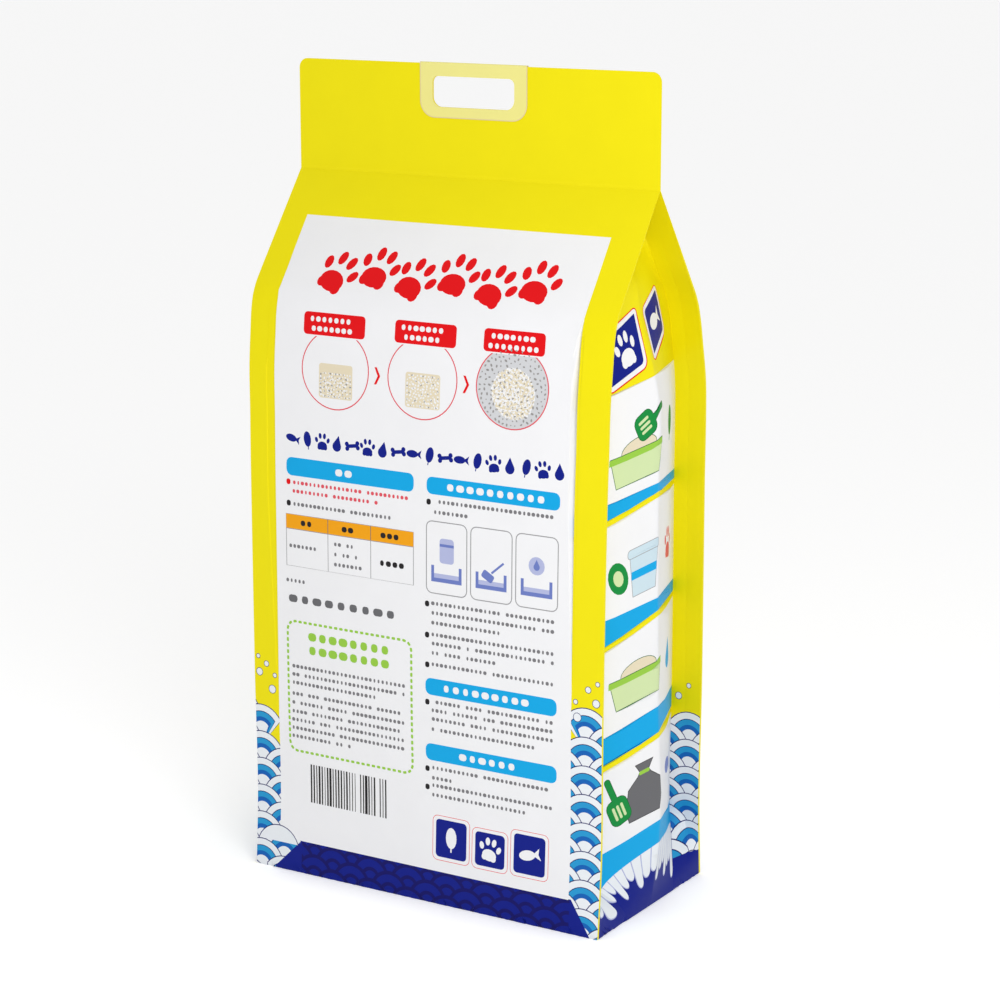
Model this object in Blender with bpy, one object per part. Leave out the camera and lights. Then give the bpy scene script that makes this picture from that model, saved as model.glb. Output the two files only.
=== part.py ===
"""A filled cat litter bag: a side-gusset bag of plastic film with four corner fins,
a flat header with a hand hole, and a plastic patch folded over the header's top edge.

Metres, +Z up. The origin is the middle of the base, the front faces -Y, and the base is at z = 0.
"""

import math

import bmesh
import bpy
import numpy as np

# Bag, overall
HEIGHT = 0.599
HEADER_BASE = 0.519
HEADER_WIDTH = 0.300
BASE_WIDTH = 0.296
BASE_DEPTH = 0.1566
SHOULDER = 0.437
SHOULDER_WIDTH = 0.301
HEADER_OFFSET = -0.0029
HEADER_CORNER = 0.007
CORNER_STEPS = 6

# Sealed film: two layers face to face make a fin, and four make the header
FIN_FILM = 0.0005
FIN_WIDTH = 0.025
PANEL_CROWN = 0.0015

# Half of the bag's depth at each height, from the base to the shoulder
HALF_DEPTHS = (
    (0.000, BASE_DEPTH / 2),
    (0.050, 0.0745),
    (0.150, 0.0748),
    (0.300, 0.0725),
    (0.375, 0.0712),
    (0.405, 0.0662),
    (SHOULDER, 0.0590),
)

# Half of the bag's width at each height
HALF_WIDTHS = (
    (0.000, BASE_WIDTH / 2),
    (0.300, 0.1493),
    (SHOULDER, SHOULDER_WIDTH / 2),
    (HEADER_BASE, HEADER_WIDTH / 2),
)

# How far out the gusset's middle crease stands at each height, until it folds into the header
CREASE_REACH = (
    (0.000, BASE_WIDTH / 2),
    (0.050, 0.1540),
    (0.160, 0.1518),
    (0.300, 0.1500),
    (0.375, 0.1495),
    (0.405, 0.1440),
    (0.431, 0.1370),
    (0.462, 0.1285),
    (0.478, 0.1140),
    (0.492, 0.0850),
    (0.505, 0.0590),
    (HEADER_BASE, 0.0470),
)

# Near the base, the gusset leaves the fin and opens out to the straight side of the base
GUSSET_OPENS_BELOW = 0.055
BASE_ROOT_DEPTH = 0.035

# Hand hole and the patch round it
HOLE_WIDTH = 0.068
HOLE_LOW = 0.5684
HOLE_HIGH = 0.5901
HOLE_TOP_CORNER = 0.0045
HOLE_LOW_CORNER = 0.007
PATCH_WIDTH = 0.089
PATCH_LOW = 0.5607
PATCH_CORNER = 0.012
PATCH_THICKNESS = 0.0008
PATCH_FOLD_STEPS = 3
GAP = 0.0003
ARC_STEPS = 6

# Where the mesh has its rings and columns
RING_HEIGHTS = (
    0.0, 0.008, 0.018, 0.030, 0.042, 0.055, 0.085, 0.120, 0.160, 0.210, 0.260, 0.310, 0.350,
    0.375, 0.390, 0.405, 0.418, 0.431, SHOULDER, 0.450, 0.462, 0.470, 0.478, 0.485, 0.492,
    0.498, 0.505, 0.512, HEADER_BASE,
)
PANEL_COLUMNS = (0.0, 0.3, 0.6, 0.85)
GUSSET_COLUMNS = (0.33, 0.67)
WELD = 1e-6

BAG_YELLOW = (0.84, 0.73, 0.02, 1.0)
PATCH_YELLOW = (0.80, 0.76, 0.30, 1.0)


def curve_through(table, height):
    """Value at a height on a smooth curve through a table of (height, value) points."""
    heights, values = np.array(table, dtype=float).T
    slopes = np.gradient(values, heights)
    upper = int(np.clip(np.searchsorted(heights, height), 1, len(heights) - 1))
    lower = upper - 1
    span = heights[upper] - heights[lower]
    t = (height - heights[lower]) / span
    return (
        (2 * t**3 - 3 * t**2 + 1) * values[lower]
        + (t**3 - 2 * t**2 + t) * span * slopes[lower]
        + (3 * t**2 - 2 * t**3) * values[upper]
        + (t**3 - t**2) * span * slopes[upper]
    )


def ease(t):
    """Smooth step from 0 to 1."""
    t = min(max(t, 0.0), 1.0)
    return t * t * (3 - 2 * t)


def half_depth(height):
    """The front panel's distance from the middle plane, which closes to the header's film."""
    if height <= SHOULDER:
        return curve_through(HALF_DEPTHS, height)
    closed = (height - SHOULDER) / (HEADER_BASE - SHOULDER)
    return HALF_DEPTHS[-1][1] * (1 - closed) + FIN_FILM * closed


def middle_plane(height):
    """The bag's middle leans forward a little from the base to the header."""
    return HEADER_OFFSET * min(height, HEADER_BASE) / HEADER_BASE


def panel_crown(height, across):
    """How far a filled panel swells past its fins."""
    swell = math.sin(math.pi * min(height / SHOULDER, 1.0))
    return PANEL_CROWN * max(swell, 0.0) * (1 - across**2)


def front_quarter(height):
    """Points from the front's middle round the fin and along the gusset to its crease."""
    depth = half_depth(height)
    width = curve_through(HALF_WIDTHS, height)
    panel = width - FIN_WIDTH
    points = []
    for across in PANEL_COLUMNS:
        points.append((across * panel, -depth - panel_crown(height, across)))
    points.append((panel, -depth))
    points.append((width, -depth))
    points.append((width, FIN_FILM - depth))
    closed = ease(height / GUSSET_OPENS_BELOW)
    root_x = width - FIN_WIDTH * closed
    root_y = -BASE_ROOT_DEPTH + (FIN_FILM - depth + BASE_ROOT_DEPTH) * closed
    crease_x = curve_through(CREASE_REACH, height)
    points.append((root_x, root_y))
    for along in GUSSET_COLUMNS:
        points.append((root_x + (crease_x - root_x) * along, root_y * (1 - along)))
    points.append((crease_x, 0.0))
    return points


def bag_section(height):
    """The whole outline at a height, anticlockwise seen from above, from the front's middle."""
    quarter = front_quarter(height)
    right = quarter + [(x, -y) for x, y in reversed(quarter[:-1])]
    left = [(-x, y) for x, y in reversed(right[1:-1])]
    lean = middle_plane(height)
    return [(x, y + lean, height) for x, y in right + left]


def header_loop(section):
    """Numbers of the outline's points that carry on up the header, the gussets left out."""
    quarter = len(front_quarter(0.0))
    outer = len(PANEL_COLUMNS) + 2
    half = 2 * quarter - 2
    right_front = range(0, outer + 1)
    right_back = range(half - outer + 1, half + 1)
    left_back = range(half + 1, half + outer + 1)
    left_front = range(2 * half - outer + 1, len(section))
    return [*right_front, *right_back, *left_back, *left_front]


def join_rings(mesh, low, high):
    """A band of faces between two rings of the same number of points."""
    for number, vertex in enumerate(low):
        following = (number + 1) % len(low)
        mesh.faces.new((vertex, low[following], high[following], high[number]))


def bag_mesh():
    """The filled bag and its header as one closed surface."""
    mesh = bmesh.new()
    rings = [
        [mesh.verts.new(point) for point in bag_section(height)]
        for height in RING_HEIGHTS
    ]
    mesh.faces.new(list(reversed(rings[0])))
    for low, high in zip(rings, rings[1:]):
        join_rings(mesh, low, high)
    foot = [rings[-1][number] for number in header_loop(rings[-1])]
    top = [mesh.verts.new((v.co.x, v.co.y, HEIGHT)) for v in foot]
    join_rings(mesh, foot, top)
    mesh.faces.new(top)
    bmesh.ops.remove_doubles(mesh, verts=mesh.verts, dist=WELD)
    round_header_corners(mesh)
    bmesh.ops.recalc_face_normals(mesh, faces=mesh.faces)
    return mesh


def round_header_corners(mesh):
    """The header's two top corners are cut round."""
    edge_x = HEADER_WIDTH / 2 - WELD
    corners = [
        edge
        for edge in mesh.edges
        if all(v.co.z > HEIGHT - WELD and abs(v.co.x) > edge_x for v in edge.verts)
    ]
    bmesh.ops.bevel(
        mesh,
        geom=corners,
        offset=HEADER_CORNER,
        segments=CORNER_STEPS,
        profile=0.5,
        affect="EDGES",
    )


def rounded_outline(width, low, high, low_corner, high_corner):
    """Outline in X and Z with its low and high corners rounded, from the low right one."""
    corners = (
        (1, low, low_corner, -90),
        (1, high, high_corner, 0),
        (-1, high, high_corner, 90),
        (-1, low, low_corner, 180),
    )
    outline = []
    for side, level, radius, start in corners:
        centre_x = side * (width / 2 - radius)
        centre_z = level + radius if level == low else level - radius
        for step in range(ARC_STEPS + 1):
            angle = math.radians(start + 90 * step / ARC_STEPS)
            outline.append((centre_x + radius * math.cos(angle), centre_z + radius * math.sin(angle)))
            if radius == 0:
                break
    return outline


def plate_mesh(outline, front_y, back_y):
    """An outline in X and Z as a plate from one Y to another."""
    mesh = bmesh.new()
    front = [mesh.verts.new((x, front_y, z)) for x, z in outline]
    back = [mesh.verts.new((x, back_y, z)) for x, z in outline]
    mesh.faces.new(front)
    mesh.faces.new(list(reversed(back)))
    join_rings(mesh, back, front)
    bmesh.ops.recalc_face_normals(mesh, faces=mesh.faces)
    return mesh


def add_object(name, mesh, material=None):
    """A mesh as an object in the scene."""
    data = bpy.data.meshes.new(name)
    mesh.to_mesh(data)
    mesh.free()
    thing = bpy.data.objects.new(name, data)
    bpy.context.scene.collection.objects.link(thing)
    if material:
        data.materials.append(material)
    return thing


def add_cutter(name, mesh):
    """A shape that only cuts others."""
    cutter = add_object(name, mesh)
    cutter.hide_render = True
    cutter.display_type = "WIRE"
    return cutter


def cut(thing, cutter):
    """Take one shape out of another."""
    modifier = thing.modifiers.new(cutter.name, "BOOLEAN")
    modifier.operation = "DIFFERENCE"
    modifier.solver = "EXACT"
    modifier.object = cutter


def film_material(name, colour, roughness, alpha=1.0):
    """Printed or clear plastic film."""
    material = bpy.data.materials.new(name)
    material.use_nodes = True
    shader = material.node_tree.nodes["Principled BSDF"]
    shader.inputs["Base Color"].default_value = colour
    shader.inputs["Roughness"].default_value = roughness
    shader.inputs["Metallic"].default_value = 0.0
    shader.inputs["Alpha"].default_value = alpha
    return material


def hand_hole_cutter():
    """The hand hole, punched through the header and its patch together."""
    reach = 0.01
    outline = rounded_outline(HOLE_WIDTH, HOLE_LOW, HOLE_HIGH, HOLE_LOW_CORNER, HOLE_TOP_CORNER)
    return add_cutter(
        "hand_hole_cutter",
        plate_mesh(outline, HEADER_OFFSET - reach, HEADER_OFFSET + reach),
    )


def header_slot_cutter():
    """The space inside the folded patch, which the header's edge fills."""
    half = FIN_FILM + GAP
    outline = rounded_outline(PATCH_WIDTH * 1.2, PATCH_LOW - 0.01, HEIGHT + GAP, 0.0, 0.0)
    return add_cutter(
        "header_slot_cutter",
        plate_mesh(outline, HEADER_OFFSET - half, HEADER_OFFSET + half),
    )


def patch_mesh():
    """The patch before its slot and hole are cut: a plate rounded over the header's top."""
    half = FIN_FILM + GAP + PATCH_THICKNESS
    high = HEIGHT + GAP + PATCH_THICKNESS
    outline = rounded_outline(PATCH_WIDTH, PATCH_LOW, high, PATCH_CORNER, 0.0)
    mesh = plate_mesh(outline, HEADER_OFFSET - half, HEADER_OFFSET + half)
    fold = [
        edge
        for edge in mesh.edges
        if all(v.co.z > high - WELD for v in edge.verts)
        and abs(edge.verts[0].co.y - edge.verts[1].co.y) < WELD
    ]
    bmesh.ops.bevel(
        mesh,
        geom=fold,
        offset=PATCH_THICKNESS,
        segments=PATCH_FOLD_STEPS,
        profile=0.5,
        affect="EDGES",
    )
    bmesh.ops.recalc_face_normals(mesh, faces=mesh.faces)
    return mesh


def main():
    for thing in list(bpy.data.objects):
        bpy.data.objects.remove(thing, do_unlink=True)
    hand_hole = hand_hole_cutter()
    bag = add_object("bag", bag_mesh(), film_material("bag_film", BAG_YELLOW, 0.4))
    cut(bag, hand_hole)
    patch_film = film_material("patch_film", PATCH_YELLOW, 0.35, 0.85)
    patch = add_object("handle_patch", patch_mesh(), patch_film)
    cut(patch, header_slot_cutter())
    cut(patch, hand_hole)


main()
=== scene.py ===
import math

import bmesh
import bpy
import numpy as np
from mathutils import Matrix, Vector
from mathutils.geometry import delaunay_2d_cdt


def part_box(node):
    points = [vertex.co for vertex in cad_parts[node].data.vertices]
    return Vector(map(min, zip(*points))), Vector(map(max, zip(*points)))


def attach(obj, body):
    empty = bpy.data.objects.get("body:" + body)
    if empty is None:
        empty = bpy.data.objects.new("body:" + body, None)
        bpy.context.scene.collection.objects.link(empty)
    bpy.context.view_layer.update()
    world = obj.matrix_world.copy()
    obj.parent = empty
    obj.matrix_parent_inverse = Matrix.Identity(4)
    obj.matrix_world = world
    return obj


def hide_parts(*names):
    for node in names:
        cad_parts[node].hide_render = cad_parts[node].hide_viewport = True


# A filled cat litter bag of printed film. Places on the bag are in metres, in the frame's axes.
# Places in the print are in millimetres on the unrolled film: u runs round the bag from the
# front's middle, towards the right side, and v runs up the film from the base.

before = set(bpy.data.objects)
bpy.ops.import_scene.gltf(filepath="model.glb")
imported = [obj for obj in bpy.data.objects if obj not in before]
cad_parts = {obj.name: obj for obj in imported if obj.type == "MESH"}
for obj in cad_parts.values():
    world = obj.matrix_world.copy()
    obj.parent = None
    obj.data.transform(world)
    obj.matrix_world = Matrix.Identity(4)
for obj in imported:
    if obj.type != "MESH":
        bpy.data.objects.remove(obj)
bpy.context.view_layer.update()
bag_low, bag_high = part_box("bag")
patch_low, patch_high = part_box("handle_patch")

MM = 0.001

# The bag's section, as the frame has it
HEIGHT = bag_high.z
HEADER_BASE = 0.519
SHOULDER = 0.437
HEADER_OFFSET = -0.0029
HEADER_CORNER = 0.007
FIN_FILM = 0.0005
FIN_WIDTH = 0.025
PANEL_CROWN = 0.0015
GUSSET_OPENS_BELOW = 0.055
BASE_ROOT_DEPTH = 0.035
HALF_DEPTHS = (
    (0.000, 0.0783), (0.050, 0.0750), (0.150, 0.0750), (0.230, 0.0742), (0.300, 0.0731),
    (0.345, 0.0722), (0.380, 0.0706), (0.405, 0.0666), (0.424, 0.0632), (SHOULDER, 0.0595),
)
HALF_WIDTHS = ((0.000, 0.1480), (0.300, 0.1493), (SHOULDER, 0.1505), (HEADER_BASE, 0.1500))
CREASE_REACH = (
    (0.000, 0.1480), (0.050, 0.1540), (0.160, 0.1518), (0.300, 0.1500), (0.375, 0.1495),
    (0.405, 0.1440), (0.431, 0.1370), (0.462, 0.1285), (0.478, 0.1140), (0.492, 0.0850),
    (0.505, 0.0590), (HEADER_BASE, 0.0470),
)
MIDDLES = (
    (0.000, 0.0000), (0.150, 0.0000), (0.300, -0.0006), (0.375, -0.0009), (0.405, -0.0028),
    (SHOULDER, -0.0046), (0.470, -0.0040), (HEADER_BASE, HEADER_OFFSET),
)

# The hand hole, punched through the header and its patch
HOLE_WIDTH = 0.068
HOLE_LOW = 0.5684
HOLE_HIGH = 0.5901
HOLE_TOP_CORNER = 0.0045
HOLE_LOW_CORNER = 0.007
PATCH_WIDTH = patch_high.x - patch_low.x
PATCH_LOW = patch_low.z
PATCH_CORNER = 0.012
PATCH_GAP = 0.0003

# Finer form than the frame's
FIN_EDGE = 0.0021
FIN_TAPER = 0.014
BASE_ROUND = 0.0012
SHOULDER_BEND = 0.007
GUSSET_SWELL = 0.0016
CREASE_ROUND = 0.025

# Film coordinates of the folds, in millimetres round from the front's middle
FIN = 150.0
FIN_BACK = 152.0
TAPER_END = 166.0
ROOT = 177.0
CREASE = 255.0
REAR_ROOT = 2 * CREASE - ROOT
REAR_FIN_BACK = 2 * CREASE - FIN_BACK
REAR_FIN = 2 * CREASE - FIN
HALF_WRAP = 2 * CREASE


def curve_through(table, height):
    """Values at many heights on a smooth curve through a table of (height, value) points."""
    heights, values = np.array(table, dtype=float).T
    slopes = np.gradient(values, heights)
    height = np.asarray(height, dtype=float)
    upper = np.clip(np.searchsorted(heights, height), 1, len(heights) - 1)
    lower = upper - 1
    span = heights[upper] - heights[lower]
    t = (height - heights[lower]) / span
    return (
        (2 * t**3 - 3 * t**2 + 1) * values[lower]
        + (t**3 - 2 * t**2 + t) * span * slopes[lower]
        + (3 * t**2 - 2 * t**3) * values[upper]
        + (t**3 - t**2) * span * slopes[upper]
    )


def ease(t):
    """Smooth step from 0 to 1."""
    t = np.clip(t, 0.0, 1.0)
    return t * t * (3 - 2 * t)


def half_depth(height):
    """The front panel's distance from the middle plane, which closes to the header's film."""
    reach = np.maximum(SHOULDER_BEND - np.abs(height - SHOULDER) / 3, 0.0)
    depths = []
    for share in (-1.0, -0.5, 0.0, 0.5, 1.0):
        level = height + share * reach
        closed = np.clip((level - SHOULDER) / (HEADER_BASE - SHOULDER), 0.0, 1.0)
        filled = curve_through(HALF_DEPTHS, np.clip(level, 0.0, SHOULDER))
        sloping = HALF_DEPTHS[-1][1] * (1 - closed) + FIN_FILM * closed
        depths.append(np.where(level <= SHOULDER, filled, sloping))
    return np.mean(depths, axis=0)


def film_lengths():
    """Heights up the front, and the film's length from the base to each."""
    heights = np.linspace(0.0, HEADER_BASE, 4000)
    steps = np.hypot(np.diff(heights), np.diff(half_depth(heights)))
    return heights, np.concatenate([[0.0], np.cumsum(steps)]) / MM


LEVEL_HEIGHTS, LEVEL_LENGTHS = film_lengths()
TOP_OF_BAG = LEVEL_LENGTHS[-1]
V_SHOULDER = float(np.interp(SHOULDER, LEVEL_HEIGHTS, LEVEL_LENGTHS))


def height_of(v):
    """Height in metres of a level on the film."""
    return np.interp(v, LEVEL_LENGTHS, LEVEL_HEIGHTS)


def soft_dents(u, v):
    """Low swells and hollows of filled film, in metres outwards."""
    slow = np.sin(u / 61 + 0.6) * np.sin(v / 83 + 1.9)
    quick = np.sin(u / 29 + v / 47 + 0.4) * np.sin(v / 37 - u / 71)
    fading = ease(v / 40) * ease((V_SHOULDER - v) / 60) * ease((HALF_WRAP - np.abs(u)) / 40)
    return (0.00030 * slow + 0.00012 * quick) * fading


def film_point(u, v):
    """Places on the bag for places in the print, as an array of X, Y and Z in metres."""
    u, v = np.broadcast_arrays(np.asarray(u, dtype=float), np.asarray(v, dtype=float))
    side = np.where(u < 0, -1.0, 1.0)
    wrap = np.abs(u)
    rear = wrap > CREASE
    along = np.where(rear, HALF_WRAP - wrap, wrap)
    height = height_of(v)
    depth = half_depth(height)
    width = curve_through(HALF_WIDTHS, height)
    dents = soft_dents(u, v)
    closed = ease(height / GUSSET_OPENS_BELOW)
    fading = ease((HEADER_BASE - height) / (HEADER_BASE - SHOULDER))
    edge = FIN_FILM + (FIN_EDGE - FIN_FILM) * fading
    fin_back = edge - depth
    root_x = width - FIN_WIDTH * closed
    root_y = -BASE_ROOT_DEPTH + (FIN_FILM - depth + BASE_ROOT_DEPTH) * closed
    open_taper_y = fin_back + (root_y - fin_back) * (TAPER_END - FIN_BACK) / (ROOT - FIN_BACK)
    taper_x = width - FIN_TAPER * closed
    taper_y = open_taper_y + (FIN_FILM - depth - open_taper_y) * closed
    crease_x = curve_through(CREASE_REACH, height)

    across = along / FIN
    crown = PANEL_CROWN * np.sin(math.pi * np.minimum(height / SHOULDER, 1.0))
    panel_share = np.clip(1 - (along * MM / (FIN * MM - FIN_WIDTH)) ** 2, 0.0, 1.0)
    x = width * across
    y = -depth - (crown + dents) * panel_share

    t = (along - FIN) / (FIN_BACK - FIN)
    part = along > FIN
    x = np.where(part, width, x)
    y = np.where(part, -depth + edge * t, y)

    t = (along - FIN_BACK) / (TAPER_END - FIN_BACK)
    part = along > FIN_BACK
    x = np.where(part, width + (taper_x - width) * t, x)
    y = np.where(part, fin_back + (taper_y - fin_back) * t, y)

    t = (along - TAPER_END) / (ROOT - TAPER_END)
    part = along > TAPER_END
    x = np.where(part, taper_x + (root_x - taper_x) * t, x)
    y = np.where(part, taper_y + (root_y - taper_y) * t, y)

    t = np.clip((along - ROOT) / (CREASE - ROOT), 0.0, 1.0)
    part = along > ROOT
    sharpness = np.sqrt(1 + CREASE_ROUND**2) - CREASE_ROUND
    away = (np.sqrt((1 - t) ** 2 + CREASE_ROUND**2) - CREASE_ROUND) / sharpness
    swell = (GUSSET_SWELL + dents) * np.sin(math.pi * t) ** 2 * closed * fading
    x = np.where(part, crease_x + (root_x - crease_x) * away + swell, x)
    y = np.where(part, root_y * (1 - t), y)

    inset = BASE_ROUND - np.sqrt(np.maximum(BASE_ROUND**2 - np.maximum(BASE_ROUND - height, 0) ** 2, 0))
    x = x * (1 - inset / width)
    y = y * (1 - inset / depth)
    lean = curve_through(MIDDLES, height)
    return np.stack([side * x, np.where(rear, -y, y) + lean, height], axis=-1)


def film_normal(u, v):
    """Outward directions of the film."""
    step = 0.02
    round_bag = film_point(u + step, v) - film_point(u - step, v)
    up_bag = film_point(u, v + step) - film_point(u, v - step)
    normal = np.cross(round_bag, up_bag)
    return normal / np.maximum(np.linalg.norm(normal, axis=-1, keepdims=True), 1e-12)


# Inks, as red, green and blue of 255 in daylight
INKS = {
    "yellow": (238, 224, 10),
    "panel_white": (238, 238, 240),
    "foam_white": (232, 236, 240),
    "sky_blue": (14, 165, 225),
    "wave_blue": (40, 150, 205),
    "deep_blue": (20, 96, 178),
    "navy": (12, 28, 132),
    "dark_navy": (16, 16, 98),
    "red": (225, 15, 22),
    "soft_red": (222, 84, 96),
    "orange": (240, 162, 20),
    "leaf_green": (20, 138, 62),
    "dark_green": (12, 98, 48),
    "lime": (150, 200, 70),
    "pale_green": (206, 224, 170),
    "pale_blue": (200, 220, 230),
    "violet": (108, 124, 190),
    "pale_violet": (176, 182, 218),
    "beige": (226, 214, 186),
    "stone": (206, 207, 210),
    "pebble": (150, 148, 146),
    "line_grey": (150, 150, 152),
    "sack_grey": (105, 105, 108),
    "text_grey": (92, 92, 96),
    "black": (38, 36, 38),
    "print_grey": (122, 121, 124),
    "patch_yellow": (236, 229, 140),
    "patch_rim": (226, 208, 158),
}
PRINT_ALBEDO = 0.90


def linear(colour, share=1.0):
    """A colour of 255 as the linear colour that shaders take."""
    values = np.array(colour, dtype=float) / 255
    values = np.where(values <= 0.04045, values / 12.92, ((values + 0.055) / 1.055) ** 2.4)
    return (*(values * share), 1.0)


def film_ink(name):
    """Satin film printed in one ink: the ink lies a little unevenly, and the film isn't quite flat."""
    material = bpy.data.materials.new(name)
    material.use_nodes = True
    nodes = material.node_tree.nodes
    link = material.node_tree.links.new
    shader = nodes["Principled BSDF"]
    place = nodes.new("ShaderNodeTexCoord")
    mottle = nodes.new("ShaderNodeTexNoise")
    mottle.inputs["Scale"].default_value = 38.0
    mottle.inputs["Detail"].default_value = 3.0
    link(place.outputs["Object"], mottle.inputs["Vector"])
    shade = nodes.new("ShaderNodeMix")
    shade.data_type = "RGBA"
    colour = linear(INKS[name], PRINT_ALBEDO)
    shade.inputs["A"].default_value = (*(0.972 * value for value in colour[:3]), 1.0)
    shade.inputs["B"].default_value = (*(1.020 * value for value in colour[:3]), 1.0)
    link(mottle.outputs["Fac"], shade.inputs["Factor"])
    link(shade.outputs["Result"], shader.inputs["Base Color"])
    gloss = nodes.new("ShaderNodeMapRange")
    gloss.inputs["To Min"].default_value = 0.40
    gloss.inputs["To Max"].default_value = 0.50
    link(mottle.outputs["Fac"], gloss.inputs["Value"])
    link(gloss.outputs["Result"], shader.inputs["Roughness"])
    ripple = nodes.new("ShaderNodeTexNoise")
    ripple.inputs["Scale"].default_value = 260.0
    ripple.inputs["Detail"].default_value = 2.0
    link(place.outputs["Object"], ripple.inputs["Vector"])
    bump = nodes.new("ShaderNodeBump")
    bump.inputs["Strength"].default_value = 0.05
    bump.inputs["Distance"].default_value = 0.0002
    link(ripple.outputs["Fac"], bump.inputs["Height"])
    link(bump.outputs["Normal"], shader.inputs["Normal"])
    shader.inputs["Specular IOR Level"].default_value = 0.10
    return material


ink_names = list(INKS)
ink_materials = {name: film_ink(name) for name in ink_names}

# Outlines in the print: each is an array of u and v


def rectangle(left, low, right, high):
    return np.array([(left, low), (right, low), (right, high), (left, high)], dtype=float)


def rounded(left, low, right, high, radius, steps=4):
    """A rectangle with round corners."""
    corners = ((right, low, -90), (right, high, 0), (left, high, 90), (left, low, 180))
    points = []
    for u, v, start in corners:
        centre_u = u - radius if u == right else u + radius
        centre_v = v - radius if v == high else v + radius
        for step in range(steps + 1):
            angle = math.radians(start + 90 * step / steps)
            points.append((centre_u + radius * math.cos(angle), centre_v + radius * math.sin(angle)))
    return np.array(points)


def oval(u, v, wide, high, tilt=0.0, steps=20):
    """An ellipse of the given whole width and height."""
    angles = np.linspace(0, 2 * math.pi, steps, endpoint=False)
    flat = np.stack([wide / 2 * np.cos(angles), high / 2 * np.sin(angles)], axis=-1)
    return turned(flat, tilt) + (u, v)


def turned(outline, tilt):
    """An outline turned about (0, 0) by an angle in degrees."""
    angle = math.radians(tilt)
    turn = np.array([(math.cos(angle), math.sin(angle)), (-math.sin(angle), math.cos(angle))])
    return outline @ turn


def grown(outline, distance):
    """An outline moved outwards by a distance all round."""
    before = np.roll(outline, 1, axis=0)
    after = np.roll(outline, -1, axis=0)
    along_in = outline - before
    along_out = after - outline
    along_in /= np.maximum(np.linalg.norm(along_in, axis=1, keepdims=True), 1e-9)
    along_out /= np.maximum(np.linalg.norm(along_out, axis=1, keepdims=True), 1e-9)
    normal = np.stack([along_in[:, 1] + along_out[:, 1], -along_in[:, 0] - along_out[:, 0]], axis=-1)
    scale = distance * 2 / np.maximum((normal**2).sum(axis=1, keepdims=True), 0.8)
    return outline + normal * scale


def clipped(outline, left, low, right, high):
    """The part of an outline inside a rectangle."""
    for axis, limit, sign in ((0, left, 1), (0, right, -1), (1, low, 1), (1, high, -1)):
        if len(outline) == 0:
            return outline
        kept = []
        inside = sign * (outline[:, axis] - limit) >= 0
        for number in range(len(outline)):
            here, before = outline[number], outline[number - 1]
            if inside[number] != inside[number - 1]:
                share = (limit - before[axis]) / (here[axis] - before[axis])
                kept.append(before + (here - before) * share)
            if inside[number]:
                kept.append(here)
        outline = np.array(kept)
    return outline


# The print, in painter's order: each field is an ink and an outline
print_fields = []


def field(ink, outline):
    if len(outline) > 2:
        print_fields.append((ink, np.asarray(outline, dtype=float)))


def both_sides(ink, outline):
    """A field of the right side, and its mirror image on the left."""
    field(ink, outline)
    field(ink, outline * (-1, 1))


def paw(ink, u, v, size, tilt=0.0):
    """A paw print: a pad and four toes."""
    parts = (
        oval(0, -0.20, 0.62, 0.46, steps=18),
        oval(-0.20, -0.30, 0.24, 0.26, steps=12),
        oval(0.20, -0.30, 0.24, 0.26, steps=12),
        oval(-0.38, 0.10, 0.20, 0.30, 18, 12),
        oval(-0.14, 0.32, 0.20, 0.32, 6, 12),
        oval(0.14, 0.32, 0.20, 0.32, -6, 12),
        oval(0.38, 0.10, 0.20, 0.30, -18, 12),
    )
    for part in parts:
        field(ink, turned(part, tilt) * size + (u, v))


def fish(ink, u, v, size, tilt=0.0):
    """A fish: a body and a tail."""
    body = oval(-0.10, 0, 0.72, 0.40, steps=18)
    tail = np.array([(0.14, 0.0), (0.48, -0.24), (0.40, 0.0), (0.48, 0.24)])
    for part in (body, tail):
        field(ink, turned(part, tilt) * size + (u, v))


def bone(ink, u, v, size, tilt=0.0):
    """A bone: a bar with two knobs at each end."""
    parts = [rectangle(-0.30, -0.10, 0.30, 0.10)]
    for end in (-0.34, 0.34):
        for level in (-0.12, 0.12):
            parts.append(oval(end, level, 0.26, 0.26, steps=12))
    for part in parts:
        field(ink, turned(part, tilt) * size + (u, v))


def leaf(ink, u, v, size, tilt=0.0):
    """A leaf with a stalk."""
    angles = np.linspace(-0.5, 0.5, 9) * math.pi
    one_side = np.stack([0.24 * np.cos(angles), 0.42 * np.sin(angles) + 0.06], axis=-1)
    other = one_side[::-1][1:-1] * (-1, 1)
    field(ink, turned(np.concatenate([one_side, other]), tilt) * size + (u, v))
    field(ink, turned(rectangle(-0.03, -0.50, 0.03, -0.30), tilt) * size + (u, v))


def drop(ink, u, v, size, tilt=0.0):
    """A water drop."""
    angles = np.linspace(-1.22, 0.22, 13) * math.pi
    round_end = np.stack([0.28 * np.cos(angles), 0.28 * np.sin(angles) - 0.14], axis=-1)
    outline = np.concatenate([round_end, [(0.0, 0.46)]])
    field(ink, turned(outline, tilt) * size + (u, v))


SCALLOP_RINGS = (
    (1.00, "dark_navy"), (0.966, "foam_white"), (0.74, "dark_navy"), (0.71, "wave_blue"),
    (0.52, "deep_blue"), (0.36, "foam_white"),
)


def scallop_arc(share, steps):
    """The seen arc of a ring in a scallop of radius 1, closed at the scallop's foot."""
    level = share**2 + 0.25
    reach = (4 * level + math.sqrt(20 * share**2 - 4 * level**2)) / 10
    start = math.atan2(2 * reach - level, reach) if share > 0.26 else -0.3
    angles = np.linspace(start, math.pi - start, steps)
    arc = share * np.stack([np.cos(angles), np.sin(angles)], axis=-1)
    return np.concatenate([arc, [(0.0, -0.5)]])


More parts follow.
